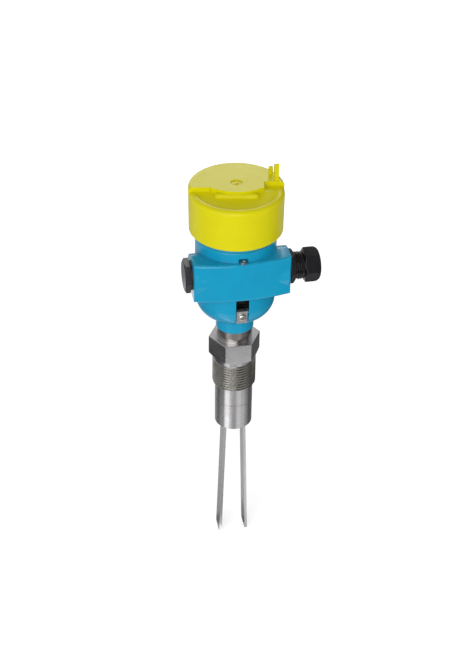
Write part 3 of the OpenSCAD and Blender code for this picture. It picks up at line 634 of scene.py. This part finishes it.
def seen_directly(tree):
    """1 for what the camera sees, also in reflections and through glass."""
    path = place(tree, "ShaderNodeLightPath").outputs
    first = work_out(tree, "MAXIMUM", path["Is Camera Ray"], path["Is Glossy Ray"])
    return work_out(tree, "MAXIMUM", first, path["Is Transmission Ray"])


def make_surround():
    world = bpy.data.worlds.new("surround")
    world.use_nodes = True
    tree = world.node_tree
    background = tree.nodes["Background"]
    background.inputs["Color"].default_value = (1, 1, 1, 1)
    strength = stretch(tree, seen_directly(tree), 0.0, 1.0, SURROUND_LIGHT, 1.0)
    tree.links.new(strength, background.inputs["Strength"])
    bpy.context.scene.world = world


def make_floor():
    """A pale floor with the switch's shadow, which fades into the surround for the camera."""
    level = cad_box[0][2]
    mesh = bpy.data.meshes.new("floor")
    mesh.from_pydata([(-FLOOR_REACH, -FLOOR_REACH, level), (FLOOR_REACH, -FLOOR_REACH, level),
                      (FLOOR_REACH, FLOOR_REACH, level), (-FLOOR_REACH, FLOOR_REACH, level)],
                     [], [(0, 1, 2, 3)])
    floor = bpy.data.objects.new("floor", mesh)
    bpy.context.scene.collection.objects.link(floor)
    material, tree, surface = start_plain("pale floor")
    pale = place(tree, "ShaderNodeBsdfDiffuse", {"Color": FLOOR_PALE}).outputs[0]
    away = length(tree, place(tree, "ShaderNodeNewGeometry").outputs["Position"])
    faded = times(tree, stretch(tree, away, *FLOOR_FADE),
                  place(tree, "ShaderNodeLightPath").outputs["Is Camera Ray"])
    glow = place(tree, "ShaderNodeEmission",
                 {"Strength": stretch(tree, faded, 0.0, 1.0, *FLOOR_GLOW)}).outputs[0]
    lifted = place(tree, "ShaderNodeAddShader", {0: pale, 1: glow}).outputs[0]
    shown = place(tree, "ShaderNodeMixShader", {0: seen_directly(tree), 1: pale, 2: lifted})
    tree.links.new(shown.outputs[0], surface)
    mesh.materials.append(material)


def add_lamp(name, spot, target, size, power):
    lamp = bpy.data.lights.new(name, "AREA")
    lamp.shape = "RECTANGLE"
    lamp.size, lamp.size_y = size
    lamp.energy = power
    holder = bpy.data.objects.new(name, lamp)
    holder.location = spot
    aim = Vector(target) - Vector(spot)
    holder.rotation_euler = aim.to_track_quat("-Z", "Y").to_euler()
    bpy.context.scene.collection.objects.link(holder)


def glow_only(name, strength):
    material, tree, surface = start_plain(name)
    glow = place(tree, "ShaderNodeEmission", {"Strength": strength}).outputs[0]
    tree.links.new(glow, surface)
    return material


def show_in_reflections(name, mesh):
    """Stands a mesh in the studio where only glossy rays meet it."""
    card = bpy.data.objects.new(name, mesh)
    for ray in ("camera", "diffuse", "transmission", "volume_scatter", "shadow"):
        setattr(card, f"visible_{ray}", False)
    bpy.context.scene.collection.objects.link(card)


def arc(reach, turns, steps, level):
    """Points on a level arc, with turns in degrees from the front towards the right."""
    first, last = turns
    angles = [math.radians(first + (last - first) * i / steps) for i in range(steps + 1)]
    return [(reach * math.sin(angle), -reach * math.cos(angle), level) for angle in angles]


def sheet_of_arcs(name, arcs):
    """A mesh that joins arcs with the same number of points into one open sheet."""
    count = len(arcs[0])
    faces = []
    for row in range(len(arcs) - 1):
        here, there = row * count, (row + 1) * count
        faces += [(here + i, here + i + 1, there + i + 1, there + i) for i in range(count - 1)]
    mesh = bpy.data.meshes.new(name)
    mesh.from_pydata([point for row in arcs for point in row], [], faces)
    return mesh


def make_cards():
    """Grey and bright cards, as a photographer lays them out for bare metal."""
    level = cad_box[0][2] + CARD_LIFT
    for number, (first, last, *brightness) in enumerate(CARDS):
        steps = max(2, int((last - first) / CARD_STEP))
        mesh = sheet_of_arcs(f"card_{number}", [arc(reach, (first, last), steps, level)
                                                for reach in CARD_REACH])
        for part, strength in zip(("near", "middle", "far"), brightness):
            mesh.materials.append(glow_only(f"{part} card {number}", strength))
        for i, face in enumerate(mesh.polygons):
            face.material_index = i // steps
        show_in_reflections(f"card_{number}", mesh)


def make_screen(name, reach, turns, levels, brightness):
    """An upright curved screen from one azimuth and one level to another."""
    mesh = sheet_of_arcs(name, [arc(reach, turns, SCREEN_STEPS, level) for level in levels])
    mesh.materials.append(glow_only(name.replace("_", " "), brightness))
    show_in_reflections(name, mesh)


def make_canopy(level, reach, brightness):
    """A dark disc overhead, so that sloping gloss keeps its own colour."""
    mesh = bpy.data.meshes.new("canopy")
    turns = [2 * math.pi * i / CANOPY_SIDES for i in range(CANOPY_SIDES)]
    mesh.from_pydata([(reach * math.cos(turn), reach * math.sin(turn), level) for turn in turns],
                     [], [range(CANOPY_SIDES)])
    mesh.materials.append(glow_only("canopy", brightness))
    show_in_reflections("canopy", mesh)


make_camera()
make_surround()
make_floor()
make_cards()
make_screen("back_screen", 0.085, (90, 270), (0.028, 0.13), 0.55)
make_screen("gland_screen", 0.085, (98, 142), (0.13, 0.18), 0.03)
make_screen("side_screen", 1.7, (-5, 130), (-0.17, 1.25), 0.12)
make_screen("back_glow", 1.65, (140, 215), (0.5, 1.14), 2.4)
make_canopy(1.25, 1.75, 0.2)
add_lamp("key lamp", (-0.6, -1.25, 0.6), (0, 0, 0.02), (1.5, 1.4), 15)
add_lamp("fill lamp", (1.0, -0.8, 0.35), (0, 0, 0.0), (0.7, 0.9), 1.2)
add_lamp("back lamp", (0.2, 1.3, 0.78), (0, 0, 0.12), (1.0, 0.5), 3.4)

bpy.context.scene.view_settings.view_transform = "Standard"
